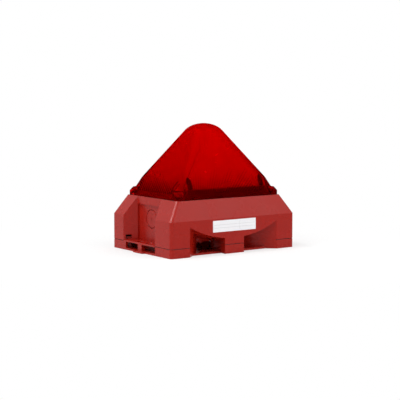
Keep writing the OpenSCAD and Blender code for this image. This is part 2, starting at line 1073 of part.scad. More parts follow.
module core_block(grow_l, grow_w, h) {
    translate([core_x - core_l / 2 - grow_l, -core_w / 2 - grow_w, board_z - h])
        cube([core_l + 2 * grow_l, core_w + 2 * grow_w, h]);
}

// Two-legged core with a window each side of the winding
module transformer_core() {
    color(dark_steel)
        difference() {
            core_block(0, 0, core_h);
            translate([0, 0, -core_leg])
                core_block(cut, -core_leg, core_h - 2 * core_leg);
        }
}

module transformer_winding() {
    color("#c79a3a")
        translate([0, 0, -core_leg - gap])
            core_block(-gap, -core_leg - gap, core_h - 2 * core_leg - 2 * gap);
}

module trigger_coil() {
    color("#b23a2c")
        translate([trigger_x, trigger_y, board_z]) {
            disc_at(-trigger_h, trigger_h, trigger_r - trigger_rim);
            disc_at(-trigger_h, trigger_flange, trigger_r);
            disc_at(-trigger_flange, trigger_flange, trigger_r);
        }
}

// Strobe above the board

// Shallow white tray round the tube socket, standing on four legs on the board
module reflector() {
    board_top = board_z + board_t;
    color(white_plastic)
        difference() {
            union() {
                difference() {
                    mirror_block(0);
                    mirror_block(mirror_t);
                }
                four_corners(mirror_l / 2 - mirror_leg_in, mirror_w / 2 - mirror_leg_in)
                    disc_at(board_top, mirror_z + mirror_t / 2 - board_top, mirror_leg_r);
            }
            translate([-socket_l / 2 - gap, -socket_w / 2 - gap, board_z])
                cube([socket_l + 2 * gap, socket_w + 2 * gap, deck_h]);
        }
}

module mirror_block(inset) {
    shrink = mirror_rim + inset;
    hull() {
        slab_at(mirror_z + inset, slab)
            square([mirror_l - 2 * shrink, mirror_w - 2 * shrink], center = true);
        slab_at(deck_h + inset - slab, slab)
            square([mirror_l - 2 * inset, mirror_w - 2 * inset], center = true);
    }
}

module tube_socket() {
    color("#dcd9d0")
        difference() {
            translate([-socket_l / 2, -socket_w / 2, board_z + board_t])
                cube([socket_l, socket_w, socket_top - board_z - board_t]);
            for (x = [-1, 1])
                translate([x * tube_pitch / 2, 0, 0])
                    disc_at(socket_top - tube_seat, tube_seat + cut, tube_d / 2 + press_gap);
        }
}

// U-shaped glass tube with both legs in the socket
module flash_tube() {
    leg_top = deck_h + tube_h - tube_pitch / 2 - tube_d / 2;
    color("#dfe8ee90") {
        for (x = [-1, 1])
            translate([x * tube_pitch / 2, 0, 0])
                disc_at(socket_top - tube_seat, leg_top - socket_top + tube_seat, tube_d / 2);
        translate([0, 0, leg_top])
            rotate([90, 0, 0])
                rotate_extrude(angle = 180)
                    translate([tube_pitch / 2, 0])
                        circle(tube_d / 2);
    }
}

// Lens

module pyramid(inset, z) {
    r = max(lens_r - inset, 1);
    hull() {
        slab_at(z, lens_z + lens_band - inset - z)
            rounded_rect(lens_l - 2 * inset, lens_w - 2 * inset, r, $fn = 32);
        translate([0, 0, cap_z])
            scale([cap_l - inset, cap_w - inset, cap_h - inset])
                sphere(1, $fn = 32);
    }
}

module lens() {
    color(red_lens)
        difference() {
            union() {
                difference() {
                    pyramid(0, lens_z);
                    pyramid(lens_wall, lens_z - cut);
                }
                intersection() {
                    pyramid(0, lens_z);
                    union() {
                        four_corners(screw_x, screw_y)
                            disc_at(lens_z, notch_floor, lens_boss_r);
                        four_corners(screw_x + notch_shift, screw_y)
                            disc_at(notch_z - notch_wall, total_h, notch_r + notch_wall);
                    }
                }
            }
            four_corners(screw_x + notch_shift, screw_y)
                disc_at(notch_z, total_h, notch_r);
            four_corners(screw_x, screw_y) {
                disc_at(seat_z, total_h, pocket_r);
                disc_at(lens_z - cut, total_h, lens_screw_r + slide_gap);
            }
        }
}

module lens_screws() {
    color(steel)
        four_corners(screw_x, screw_y)
            pan_screw(seat_z + seal_t, seat_h + seal_t + screw_reach, lens_screw_r, lens_head_r, lens_head_h);
}

module lens_screw_seals() {
    color(black_rubber)
        four_corners(screw_x, screw_y)
            ring_at(seat_z, seal_t, lens_head_r, lens_screw_r + slide_gap);
}

base_tray();
base_gasket();
horn_manifold();
manifold_screws();
driver_gasket();
driver_frame();
driver_screws();
top_plate();
magnet_ring();
yoke();
surround();
diaphragm();
voice_coil();
contact_post();
contact_pins();
housing();
rating_label();
lens_gasket();
circuit_board();
board_screws();
terminal_block();
terminal_screws();
dip_switch();
dip_slider(1);  // dip_slider_1
dip_slider(2);  // dip_slider_2
dip_slider(3);  // dip_slider_3
dip_slider(4);  // dip_slider_4
dip_slider(5);  // dip_slider_5
dip_slider(6);  // dip_slider_6
dip_slider(7);  // dip_slider_7
dip_slider(8);  // dip_slider_8
trimmer_body();
trimmer_rotor();
flash_capacitors();
transformer_core();
transformer_winding();
trigger_coil();
reflector();
tube_socket();
flash_tube();
lens();
lens_screws();
lens_screw_seals();
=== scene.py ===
"""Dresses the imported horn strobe: red mouldings, a clear red ribbed lens, and the parts inside.

Everything is in metres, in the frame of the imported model: the origin is the centre of the base's underside,
+Z points out through the lens tip, and -Y looks out of the labelled horn face.
"""

import json
import math

import bmesh
import bpy
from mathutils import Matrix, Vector


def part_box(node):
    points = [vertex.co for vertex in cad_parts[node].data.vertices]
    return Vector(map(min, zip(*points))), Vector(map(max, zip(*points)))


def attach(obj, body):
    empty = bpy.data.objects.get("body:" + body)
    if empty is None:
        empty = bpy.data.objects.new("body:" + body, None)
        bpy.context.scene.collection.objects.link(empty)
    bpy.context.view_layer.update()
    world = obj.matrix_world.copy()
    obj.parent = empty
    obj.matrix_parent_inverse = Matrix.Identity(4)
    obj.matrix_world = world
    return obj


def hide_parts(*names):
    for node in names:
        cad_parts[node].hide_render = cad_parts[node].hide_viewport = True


MM = 0.001

# Photograph's camera
CAMERA_AZIMUTH = math.radians(-35.525)
CAMERA_ELEVATION = math.radians(5.069)
CAMERA_DISTANCE = 1307.7 * MM
CAMERA_TARGET = Vector((0, 0, 67.04 * MM))
IMAGE_SIDE = 400
FOCAL_PIXELS = 1214.03
TARGET_PIXEL = (203.448, 185.175)
# In millimetres, as Blender's cameras have it
SENSOR_WIDTH = 36

# Lamps: the place, a disk's diameter or an oblong's two sides, and the power in watts
KEY_LAMP = (Vector((-0.72, 0.3, 1.34)), 0.3, 5)
LEFT_LAMP = (Vector((-1.0, -0.3, 1.25)), 1.2, 9)
RIGHT_LAMP = (Vector((0.6, -0.85, 0.95)), 1.2, 6)
GLOSS_LAMP = (Vector((-1.05, 0.24, 0.967)), (1.1, 0.5), 25)

# Strength of the world's light from straight below and straight above
LIGHT_BELOW = 0.32
LIGHT_ABOVE = 0.68

# Floor, which fades into the background from the share at FADE_START to white at FADE_END
FLOOR_SIDE = 6.0
FADE_START = 60 * MM
FADE_END = 300 * MM
FADE_START_SHARE = 0.55

# Edge rounding of the mouldings: its width, and the least angle, length and height of an edge that gets it
SHELL_EDGE = (0.15 * MM, math.radians(20), 0.2 * MM, 0.0)
LENS_EDGE = (0.45 * MM, math.radians(32), 0.8 * MM, 65 * MM)
ROUNDING_STEPS = 2
MERGE_DISTANCE = 0.04 * MM
FLAT_ANGLE = math.radians(0.5)

# Lens, as the solid has it
LENS_WALL = 2.8 * MM
LENS_BAND = 4.3 * MM
LENS_INNER_CORNER = 1.0 * MM
CAP_RADII = Vector((23.8, 21.8, 15.0)) * MM
# How far along the length a long face's direction points at most, and an end face's at least
LONG_FACE_TURN = 0.3
END_FACE_TURN = 0.75

# Top of the deck's collar, which stands close behind the foot of the lens's long faces and below which the
# lens colour is darker as painted shade
COLLAR_TOP = 67.2 * MM
COLLAR_BLUR = 0.4 * MM

# Fine ribs on the inside of the lens
RIB_PITCH = 2.2 * MM
RIB_WIDTH = 0.9 * MM
RIB_TIP = 0.15
RIB_HEIGHT = 0.16 * MM
RIB_SINK = 0.05 * MM
RIB_START = 3.5 * MM
RIB_END = 30 * MM
RIB_UNEVENNESS = 0.2
RIB_RIDGE_GAP = 2 * MM
SHORTEST_RIB = 4 * MM
# Sideways lean of the ribs in a face's middle, and how much it grows per metre across
LONG_FACE_LEAN = (0.9, 18.0)
END_FACE_LEAN = (-1.5, 0.0)

# Round posts inside the lens's long faces, above the deck's collar
POST_PLACE = Vector((46.2, 39.0)) * MM
POST_RADIUS = 3.0 * MM
POST_FOOT = 67.6 * MM
POST_SINK = 0.15 * MM
POST_SIDES = 28

# Parting line, which has a shadow gap on the outer faces and none in the horn mouths
TRAY_TOP = 9.3 * MM
PARTING_GAP = 0.6 * MM
# The horn mouth where x and y are positive: its middle, its outer end along x and its back along y
MOUTH_MIDDLE = Vector((29, 45)) * MM
MOUTH_END = 57 * MM
MOUTH_BACK = 28.5 * MM
# Strips that fill the gap in the horn mouths
SEAM_DEPTH = 0.8 * MM
SEAM_CLEARANCE = 0.02 * MM
SEAM_SETBACK = 1.2 * MM
# The most that the direction of an upright face points up or down
UPRIGHT_TILT = 0.1

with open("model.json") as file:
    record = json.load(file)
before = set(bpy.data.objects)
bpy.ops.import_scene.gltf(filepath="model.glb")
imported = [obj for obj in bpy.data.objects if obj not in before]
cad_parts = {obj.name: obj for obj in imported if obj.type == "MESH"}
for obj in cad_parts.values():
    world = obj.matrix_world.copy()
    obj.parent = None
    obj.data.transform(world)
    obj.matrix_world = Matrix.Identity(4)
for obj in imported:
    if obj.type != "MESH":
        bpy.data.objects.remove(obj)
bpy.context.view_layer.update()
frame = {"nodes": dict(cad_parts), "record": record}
scene = bpy.context.scene


# Shader helpers

# The colour sockets of Blender's mix node, which shares their names with its number sockets
MIX_FIRST = 6
MIX_SECOND = 7
MIX_RESULT = 2
# The values between which most of a noise lies
NOISE_LOW = 0.3
NOISE_HIGH = 0.7
# The distance between the bands of Blender's wave texture at a scale of one
WAVE_PITCH = math.pi / 10


def new_shader(name):
    """A new node material, its tree and its Principled shader."""
    material = bpy.data.materials.new(name)
    material.use_nodes = True
    tree = material.node_tree
    return material, tree, tree.nodes["Principled BSDF"]


def place(tree, stretch=(1, 1, 1)):
    """Object coordinates in metres, multiplied by stretch."""
    coordinates = tree.nodes.new("ShaderNodeTexCoord")
    mapping = tree.nodes.new("ShaderNodeMapping")
    mapping.inputs["Scale"].default_value = stretch
    tree.links.new(coordinates.outputs["Object"], mapping.inputs["Vector"])
    return mapping.outputs["Vector"]


def split_axes(tree, vector):
    """The X, Y and Z outputs of a vector."""
    split = tree.nodes.new("ShaderNodeSeparateXYZ")
    tree.links.new(vector, split.inputs["Vector"])
    return split.outputs


def noise(tree, scale, detail=2.0, stretch=(1, 1, 1)):
    """Soft noise with about scale spots per metre."""
    texture = tree.nodes.new("ShaderNodeTexNoise")
    texture.inputs["Scale"].default_value = scale
    texture.inputs["Detail"].default_value = detail
    tree.links.new(place(tree, stretch), texture.inputs["Vector"])
    return texture.outputs["Fac"]


def map_range(tree, value, source, target=(0.0, 1.0), smooth=False):
    """Maps values from one range to another, straight or with a smooth start and end."""
    node = tree.nodes.new("ShaderNodeMapRange")
    if smooth:
        node.interpolation_type = "SMOOTHSTEP"
    node.inputs["From Min"].default_value, node.inputs["From Max"].default_value = source
    node.inputs["To Min"].default_value, node.inputs["To Max"].default_value = target
    tree.links.new(value, node.inputs["Value"])
    return node.outputs["Result"]


def spread(tree, factor, low, high):
    """Maps the middle of a noise to values from low to high."""
    return map_range(tree, factor, (NOISE_LOW, NOISE_HIGH), (low, high))


def shade(colour, factor):
    """A colour made darker or lighter by a factor."""
    return tuple(min(channel * factor, 1.0) for channel in colour)


def blend_colours(tree, factor, first, second):
    """A colour between two colours; either may be another node's output."""
    node = tree.nodes.new("ShaderNodeMix")
    node.data_type = "RGBA"
    tree.links.new(factor, node.inputs["Factor"])
    for socket, colour in ((node.inputs[MIX_FIRST], first), (node.inputs[MIX_SECOND], second)):
        if isinstance(colour, bpy.types.NodeSocket):
            tree.links.new(colour, socket)
        else:
            socket.default_value = (*colour, 1)
    return node.outputs[MIX_RESULT]


def vary(tree, factor, colour, low, high):
    """A colour that a texture varies between two shades of it."""
    return blend_colours(tree, factor, shade(colour, low), shade(colour, high))


def math_node(tree, operation, *values):
    """One arithmetic node; each value is a number or another node's output."""
    node = tree.nodes.new("ShaderNodeMath")
    node.operation = operation
    for socket, value in zip(node.inputs, values):
        if isinstance(value, bpy.types.NodeSocket):
            tree.links.new(value, socket)
        else:
            socket.default_value = value
    return node.outputs["Value"]


def paint(tree, shader, colour, roughness):
    """Links a shader's colour and roughness to their textures."""
    tree.links.new(colour, shader.inputs["Base Color"])
    tree.links.new(roughness, shader.inputs["Roughness"])


def add_bump(tree, shader, height, depth, strength=0.5):
    """Roughens the shader's normal by a height texture of that depth in metres."""
    node = tree.nodes.new("ShaderNodeBump")
    node.inputs["Strength"].default_value = strength
    node.inputs["Distance"].default_value = depth
    tree.links.new(height, node.inputs["Height"])
    tree.links.new(node.outputs["Normal"], shader.inputs["Normal"])


def mix_shaders(tree, factor, first, second):
    """Makes the material's surface a mix of two shaders; factor is a number or another node's output."""
    mixed = tree.nodes.new("ShaderNodeMixShader")
    share, first_socket, second_socket = mixed.inputs
    if isinstance(factor, bpy.types.NodeSocket):
        tree.links.new(factor, share)
    else:
        share.default_value = factor
    tree.links.new(first, first_socket)
    tree.links.new(second, second_socket)
    tree.links.new(mixed.outputs["Shader"], tree.nodes["Material Output"].inputs["Surface"])


# Materials, one per slot of the record

# The lens plastic's bending of light, and the painted highlight on its ridges, as a factor on the lens colour
LENS_IOR = 1.3
RIDGE_PAINTED_HIGHLIGHT = 1.06


def moulded(name, colour, roughness, mottle, grain=0.03 * MM, gloss=0.5):
    """Moulded plastic: faint clouds in the pigment and a fine eroded grain."""
    material, tree, shader = new_shader(name)
    shader.inputs["Specular IOR Level"].default_value = gloss
    clouds = noise(tree, scale=48, detail=4)
    fine = noise(tree, scale=1900)
    colours = vary(tree, clouds, colour, low=1 - mottle, high=1 + mottle)
    paint(tree, shader, colours, spread(tree, clouds, low=roughness - 0.05, high=roughness + 0.05))
    add_bump(tree, shader, fine, grain)
    return material


def metal(name, colour, roughness, stretch):
    """Bright metal with fine drawn marks along one direction."""
    material, tree, shader = new_shader(name)
    shader.inputs["Metallic"].default_value = 1.0
    marks = noise(tree, scale=900, detail=3, stretch=stretch)
    colours = vary(tree, marks, colour, low=0.82, high=1.1)
    paint(tree, shader, colours, spread(tree, marks, low=roughness - 0.08, high=roughness + 0.1))
    add_bump(tree, shader, marks, depth=0.01 * MM)
    return material


def sintered(name, colour):
    """Dark ferrite: matt, with pores."""
    material, tree, shader = new_shader(name)
    pores = noise(tree, scale=1400, detail=5)
    colours = vary(tree, pores, colour, low=0.6, high=1.35)
    paint(tree, shader, colours, spread(tree, pores, low=0.5, high=0.72))
    add_bump(tree, shader, pores, depth=0.05 * MM)
    return material


def wound(name, colour, pitch, direction):
    """Enamelled wire laid side by side at that pitch, darker in the grooves between turns as painted shade.
    """
    material, tree, shader = new_shader(name)
    shader.inputs["Metallic"].default_value = 0.85
    wave = tree.nodes.new("ShaderNodeTexWave")
    wave.bands_direction = direction
    wave.inputs["Scale"].default_value = WAVE_PITCH / pitch
    tree.links.new(place(tree), wave.inputs["Vector"])
    turns = wave.outputs["Fac"]
    tint = noise(tree, scale=300)
    # Painted shade: the colour is darker in the grooves between the turns
    turns_with_painted_shade = vary(tree, turns, colour, low=0.35, high=1.0)
    colours = blend_colours(tree, tint, turns_with_painted_shade, shade(colour, 0.8))
    paint(tree, shader, colours, spread(tree, tint, low=0.26, high=0.4))
    add_bump(tree, shader, turns, depth=0.1 * MM)
    return material


def end_facing(tree):
    """One on faces that look along the length, zero on faces that look across it."""
    geometry = tree.nodes.new("ShaderNodeNewGeometry")
    along = split_axes(tree, geometry.outputs["Normal"])["X"]
    turn = math_node(tree, "ABSOLUTE", along)
    return map_range(tree, turn, (LONG_FACE_TURN, END_FACE_TURN), smooth=True)


def above_collar(tree):
    """One above the deck's collar, zero on the lens's foot in front of it, where its colour gets painted
    shade.
    """
    height = split_axes(tree, place(tree))["Z"]
    return map_range(tree, height, (COLLAR_TOP - COLLAR_BLUR, COLLAR_TOP + COLLAR_BLUR))


def halfway(tree, share):
    """One where a share is a half, falling to zero where it is none or all."""
    return math_node(tree, "PINGPONG", math_node(tree, "MULTIPLY", share, 2.0), 1.0)


def clear_red(name, colour, foot_painted_shade, roughness, scatter):
    """Red lens plastic that scatters a share of the light and bends the rest.

    Its colour is darker in front of the collar as painted shade, a little darker on the end faces as painted
    shade, and lighter on the ridges as a painted highlight.
    """
    material, tree, shader = new_shader(name)
    tree.nodes.remove(shader)
    waves = noise(tree, scale=60)
    long_face = vary(tree, waves, colour, low=0.97, high=1.03)
    # Painted shade: the end faces get a little darker colour than the long faces
    end_face_painted_shade = vary(tree, waves, colour, low=0.93, high=0.97)
    # Painted shade: the long faces' foot in front of the collar gets a darker colour
    painted_foot_shade = blend_colours(tree, above_collar(tree), shade(colour, foot_painted_shade), long_face)
    turned = end_facing(tree)
    faces = blend_colours(tree, turned, painted_foot_shade, end_face_painted_shade)
    # Painted highlight: the ridges between the long and end faces get a lighter colour
    tint = blend_colours(tree, halfway(tree, turned), faces, shade(colour, RIDGE_PAINTED_HIGHLIGHT))
    bent = tree.nodes.new("ShaderNodeBsdfRefraction")
    bent.inputs["IOR"].default_value = LENS_IOR
    tree.links.new(tint, bent.inputs["Color"])
    frosting = spread(tree, waves, low=roughness - 0.03, high=roughness + 0.03)
    tree.links.new(frosting, bent.inputs["Roughness"])
    add_bump(tree, bent, waves, depth=0.05 * MM, strength=0.3)
    scattered = tree.nodes.new("ShaderNodeBsdfTranslucent")
    tree.links.new(tint, scattered.inputs["Color"])
    mix_shaders(tree, scatter, bent.outputs["BSDF"], scattered.outputs["BSDF"])
    return material


def clear_glass():
    """Drawn tube glass with faint lengthwise streaks."""
    material, tree, shader = new_shader("clear_glass")
    shader.inputs["Transmission Weight"].default_value = 1.0
    shader.inputs["IOR"].default_value = 1.47
    streaks = noise(tree, scale=700, stretch=(1, 1, 0.08))
    colours = blend_colours(tree, streaks, (0.9, 0.94, 0.96), (0.97, 0.99, 1.0))
    paint(tree, shader, colours, spread(tree, streaks, low=0.02, high=0.08))
    return material


def blank_label():
    """White satin film with the grey ruling of an unfilled form."""
    material, tree, shader = new_shader("label_film")
    hairline = 0.12 * MM
    margin = 1.5 * MM
    row_shares = (0.36, 0.62)
    column_share = 0.62
    low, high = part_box("rating_label")
    middle = (low + high) / 2
    size = high - low
    axes = split_axes(tree, place(tree))
    across = axes["X"]
    upward = axes["Z"]
    ruling = math_node(tree, "COMPARE", across, low.x + size.x * column_share, hairline)
    for share in row_shares:
        row = math_node(tree, "COMPARE", upward, low.z + size.z * share, hairline)
        ruling = math_node(tree, "MAXIMUM", ruling, row)
    in_width = math_node(tree, "COMPARE", across, middle.x, size.x / 2 - margin)
    in_height = math_node(tree, "COMPARE", upward, middle.z, size.z / 2 - margin)
    printed = math_node(tree, "MULTIPLY", ruling, math_node(tree, "MULTIPLY", in_width, in_height))
    fibres = noise(tree, scale=700, detail=3)
    film = blend_colours(tree, fibres, (0.82, 0.82, 0.84), (0.88, 0.88, 0.9))
    colours = blend_colours(tree, printed, film, (0.5, 0.5, 0.52))
    paint(tree, shader, colours, spread(tree, fibres, low=0.3, high=0.42))
    add_bump(tree, shader, fibres, depth=0.01 * MM)
    return material


def solder_mask():
    """Green board with copper tracks that show through the mask."""
    material, tree, shader = new_shader("board_green")
    tracks = tree.nodes.new("ShaderNodeTexBrick")
    tracks.inputs["Scale"].default_value = 90
    tracks.inputs["Brick Width"].default_value = 2.6
    tracks.inputs["Row Height"].default_value = 0.13
    tracks.inputs["Mortar Size"].default_value = 0.02
    tracks.inputs["Color1"].default_value = (0.015, 0.1, 0.045, 1)
    tracks.inputs["Color2"].default_value = (0.02, 0.13, 0.06, 1)
    tracks.inputs["Mortar"].default_value = (0.05, 0.22, 0.1, 1)
    tree.links.new(place(tree), tracks.inputs["Vector"])
    clouds = noise(tree, scale=80)
    colours = blend_colours(tree, clouds, tracks.outputs["Color"], (0.018, 0.11, 0.05))
    paint(tree, shader, colours, spread(tree, clouds, low=0.22, high=0.34))
    add_bump(tree, shader, tracks.outputs["Fac"], depth=0.03 * MM)
    return material


RED = (0.327, 0.0085, 0.0035)
RUBBER_BLACK = (0.012, 0.012, 0.013)
PLASTIC_BLACK = (0.02, 0.02, 0.022)
SLEEVE_BLACK = (0.014, 0.017, 0.024)
FERRITE_GREY = (0.03, 0.03, 0.033)
ZINC = (0.66, 0.67, 0.69)
STEEL = (0.3, 0.31, 0.33)
FILM_GREY = (0.5, 0.51, 0.53)
COPPER = (0.72, 0.3, 0.12)
GOLD = (0.83, 0.58, 0.22)
TERMINAL_GREEN = (0.03, 0.17, 0.07)
BLUE = (0.015, 0.09, 0.36)
WHITE = (0.8, 0.8, 0.77)
RESIN_RED = (0.36, 0.05, 0.03)
LENS_RED = (0.95, 0.05, 0.06)
# Painted shade on the lens's foot in front of the collar, as a factor on the lens colour
LENS_FOOT_PAINTED_SHADE = 0.79
WIRE_PITCH = 0.32 * MM

MATERIALS = {
    "red_shell": moulded("red_shell", RED, roughness=0.27, mottle=0.05, grain=0.02 * MM, gloss=0.19),
    "red_lens": clear_red("red_lens", LENS_RED, LENS_FOOT_PAINTED_SHADE, roughness=0.25, scatter=0.15),
    "black_rubber": moulded("black_rubber", RUBBER_BLACK, roughness=0.72, mottle=0.25, grain=0.06 * MM),
    "black_plastic": moulded("black_plastic", PLASTIC_BLACK, roughness=0.48, mottle=0.15),
    "zinc_screw": metal("zinc_screw", ZINC, roughness=0.3, stretch=(1, 1, 6)),
    "dark_steel": metal("dark_steel", STEEL, roughness=0.36, stretch=(1, 1, 20)),
    "ferrite": sintered("ferrite", FERRITE_GREY),
    "cone_film": metal("cone_film", FILM_GREY, roughness=0.32, stretch=(6, 6, 1)),
    "copper_wire": wound("copper_wire", COPPER, WIRE_PITCH, direction="Z"),
    "gold_contact": metal("gold_contact", GOLD, roughness=0.22, stretch=(1, 1, 0.2)),
    "label_film": blank_label(),
    "board_green": solder_mask(),
    "terminal_green": moulded("terminal_green", TERMINAL_GREEN, roughness=0.4, mottle=0.12),
    "blue_plastic": moulded("blue_plastic", BLUE, roughness=0.4, mottle=0.12),
    "white_plastic": moulded("white_plastic", WHITE, roughness=0.35, mottle=0.05),
    "capacitor_sleeve": moulded("capacitor_sleeve", SLEEVE_BLACK, roughness=0.25, mottle=0.2),
    "coil_resin": moulded("coil_resin", RESIN_RED, roughness=0.28, mottle=0.15),
    "clear_glass": clear_glass(),
}

# The lens's frosted inside, and its ribs, posts and edges; the ribs, posts and edges have darker copies of
# the lens colour as painted shade
INNER_RED = clear_red("inner_red", LENS_RED, LENS_FOOT_PAINTED_SHADE, roughness=0.4, scatter=0.8)
RIB_PAINTED_SHADE_RED = clear_red("rib_painted_shade", shade(LENS_RED, 0.5), foot_painted_shade=1.0, roughness=0.4, scatter=0.8)
POST_PAINTED_SHADE_RED = clear_red("post_painted_shade", shade(LENS_RED, 0.4), foot_painted_shade=1.0, roughness=0.25, scatter=0.4)
EDGE_PAINTED_SHADE_RED = clear_red("edge_painted_shade", shade(LENS_RED, 0.3), foot_painted_shade=1.0, roughness=0.3, scatter=0.4)
# Places of the edges' painted shade and the inside's plastic in the lens moulding's materials
LENS_SLOTS = {"edge": 1, "inner": 2}


def dress_nodes():
    """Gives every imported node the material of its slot."""
    for part in frame["record"]["subparts"]:
        mesh = frame["nodes"][part["node"]].data
        mesh.materials.clear()
        mesh.materials.append(MATERIALS[part["material_slot"]])


# Pieces


def link(name, data):
    """A new object in the scene."""
    thing = bpy.data.objects.new(name, data)
    scene.collection.objects.link(thing)
    return thing


def clean_form(mesh):
    """A form of a mesh with close points merged and flat faces made whole."""
    form = bmesh.new()
    form.from_mesh(mesh)
    bmesh.ops.remove_doubles(form, verts=form.verts, dist=MERGE_DISTANCE)
    bmesh.ops.dissolve_degenerate(form, edges=form.edges, dist=MERGE_DISTANCE)
    bmesh.ops.dissolve_limit(form, angle_limit=FLAT_ANGLE, verts=form.verts, edges=form.edges)
    return form


def mark_edges(form, angle, shortest, lowest):
    """Marks the edges of a moulding that are sharp, long and high enough to be rounded."""
    weight = form.edges.layers.float.new("bevel_weight_edge")
    for edge in form.edges:
        sharp = edge.is_manifold and edge.calc_face_angle() > angle
        high = min(corner.co.z for corner in edge.verts) >= lowest
        edge[weight] = float(sharp and high and edge.calc_length() > shortest)


def softened(node, name, edges, edge_slot=-1):
    """A copy of a node's moulding with its sharp edges rounded off.

    The rounding has the material of edge_slot if that is given, and otherwise that of the faces beside it.
    """
    width, *least = edges
    mesh = frame["nodes"][node].data.copy()
    mesh.name = name
    form = clean_form(mesh)
    mark_edges(form, *least)
    for face in form.faces:
        face.smooth = True
    form.to_mesh(mesh)
    form.free()
    piece = link(name, mesh)
    rounding = piece.modifiers.new("rounding", "BEVEL")
    rounding.width = width
    rounding.segments = ROUNDING_STEPS
    rounding.limit_method = "WEIGHT"
    rounding.use_clamp_overlap = False
    rounding.miter_outer = "MITER_ARC"
    rounding.material = edge_slot
    shading = piece.modifiers.new("shading", "WEIGHTED_NORMAL")
    shading.weight = 100
    return piece


def stands_for(piece, node, body, slot):
    """Puts a piece in a node's place, on its body and in its slot's material."""
    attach(piece, body)
    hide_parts(node)
    piece.data.materials.clear()
    piece.data.materials.append(MATERIALS[slot])


def add_detail(name, form, material, body):
    """Finishes a form as a piece of detail that moves with a body."""
    bmesh.ops.recalc_face_normals(form, faces=form.faces)
    mesh = bpy.data.meshes.new(name)
    form.to_mesh(mesh)
    form.free()
    detail = link(name, mesh)
    mesh.materials.append(material)
    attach(detail, body)


def close_rings(form, bottom, top):
    """Makes a closed solid between two rings of points."""
    form.faces.new(bottom)
    form.faces.new(top)
    count = len(bottom)
    for index in range(count):
        after = (index + 1) % count
        form.faces.new((bottom[index], bottom[after], top[after], top[index]))


def tangent_point(reach, drop, radius, height):
    """Where the line from a foot edge touches the cap's ellipse.

    The point is given as its distance from the axis and its height above the ellipse's middle.
    """
    x = reach / radius
    z = -drop / height
    angle = math.atan2(z, x) + math.acos(1 / math.hypot(x, z))
    return radius * math.cos(angle), height * math.sin(angle)


def inner_face(turn):
    """The flat inside of one lens face: its foot's middle, its tip and half its foot's length.

    turn is the face's outward direction in plan. The flat part is a triangle that ends at the cap.
    """
    low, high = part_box("lens")
    foot_z = low.z + LENS_BAND - LENS_WALL
    cap_z = high.z - CAP_RADII.z
    outward = Vector((turn[0], turn[1], 0))
    reach = abs(outward.dot(high)) - LENS_WALL
    cap_reach = abs(outward.dot(CAP_RADII)) - LENS_WALL
    half_span = (high.x if turn[0] == 0 else high.y) - LENS_WALL - LENS_INNER_CORNER
    touch, rise = tangent_point(reach, cap_z - foot_z, cap_reach, CAP_RADII.z - LENS_WALL)
    foot = outward * reach + Vector((0, 0, foot_z))
    tip = outward * touch + Vector((0, 0, cap_z + rise))
    return foot, tip, half_span


def add_rib(form, start, end, inward, width):
    """One low three-sided rib that narrows from start to end, standing inward from the lens wall."""
    along = (end - start).normalized()
    side = along.cross(inward) * width / 2
    foot = -inward * RIB_SINK
    crest = inward * RIB_HEIGHT
    points = [
        start - side + foot,
        start + side + foot,
        start + along * width + crest,
        end - side * RIB_TIP + foot,
        end + side * RIB_TIP + foot,
        end - along * width + crest * RIB_TIP,
    ]
    left, right, top, far_left, far_right, far_top = (form.verts.new(point) for point in points)
    form.faces.new((left, far_left, far_right, right))
    form.faces.new((left, top, far_top, far_left))
    form.faces.new((right, far_right, far_top, top))
    form.faces.new((left, right, top))
    form.faces.new((far_left, far_top, far_right))


def room_to_ridge(reach, closing):
    """How far up a face a line can run before it meets a ridge that closes in on it at that rate."""
    return reach / closing if closing > 0 else math.inf


def add_face_ribs(form, turn, lean_rule):
    """Slanted ribs up one inner lens face, each as long as the face allows."""
    foot, tip, half_span = inner_face(turn)
    outward = Vector((turn[0], turn[1], 0))
    across = Vector((-turn[1], turn[0], 0))
    upward = (tip - foot).normalized()
    inward = across.cross(upward)
    if inward.dot(outward) > 0:
        inward = -inward
    middle_lean, growth = lean_rule
    narrowing = half_span / (tip - foot).length
    edge = half_span - RIB_RIDGE_GAP
    offset = -edge
    while offset < edge:
        lean = middle_lean + growth * offset
        length = RIB_END * (1 - RIB_UNEVENNESS + RIB_UNEVENNESS * math.sin(offset / RIB_PITCH))
        right_room = room_to_ridge(edge - offset, narrowing + lean)
        left_room = room_to_ridge(edge + offset, narrowing - lean)
        finish = min(length, right_room, left_room)
        if finish > RIB_START + SHORTEST_RIB:
            start = foot + across * (offset + lean * RIB_START) + upward * RIB_START
            end = foot + across * (offset + lean * finish) + upward * finish
            add_rib(form, start, end, inward, RIB_WIDTH * (1 + abs(lean)) / 2)
        offset += RIB_PITCH * math.hypot(1, lean)


def add_post(form, corner):
    """One upright post, its top cut off along the long face's inside."""
    foot, tip, _ = inner_face((0, corner[1]))
    lean = (abs(foot.y) - abs(tip.y)) / (tip.z - foot.z)
    bottom = []
    top = []
    for index in range(POST_SIDES):
        angle = 2 * math.pi * index / POST_SIDES
        x = corner[0] * (POST_PLACE.x + POST_RADIUS * math.cos(angle))
        y = POST_PLACE.y + POST_RADIUS * math.sin(angle)
        face_z = foot.z + (abs(foot.y) + POST_SINK - y) / lean
        bottom.append(form.verts.new((x, corner[1] * y, POST_FOOT)))
        top.append(form.verts.new((x, corner[1] * y, max(face_z, POST_FOOT + POST_SINK))))
    close_rings(form, bottom, top)


